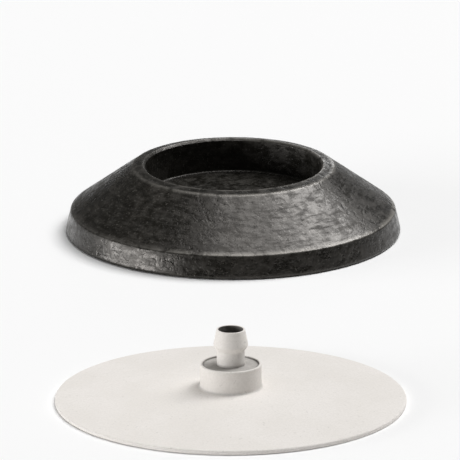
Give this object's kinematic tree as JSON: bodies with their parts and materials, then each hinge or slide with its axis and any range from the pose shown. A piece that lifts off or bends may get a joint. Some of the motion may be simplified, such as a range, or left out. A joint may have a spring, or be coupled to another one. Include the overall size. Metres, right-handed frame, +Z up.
{
  "type": "pole end cap",
  "caption": "Flared rubber end cap with a shallow round socket for a tube's end, and the thin dished disc whose barbed peg and collar snap into its underside.",
  "frame": {"origin": "centre of the collar seat's mouth in the cap's flat underside, on the floor", "axes": "+Z up along the cap's axis, out of the tube socket; -Y from the cap towards the disc that lies in front of it"},
  "size_m": [0.0584, 0.155, 0.0128],
  "materials": {
    "black_rubber": "moulded, matte, lightly dusty",
    "white_plastic": "moulded, satin, off-white"
  },
  "bodies": {
    "root": {"rubber_cap": "black_rubber", "snap_disc": "white_plastic"}
  },
  "joints": []
}
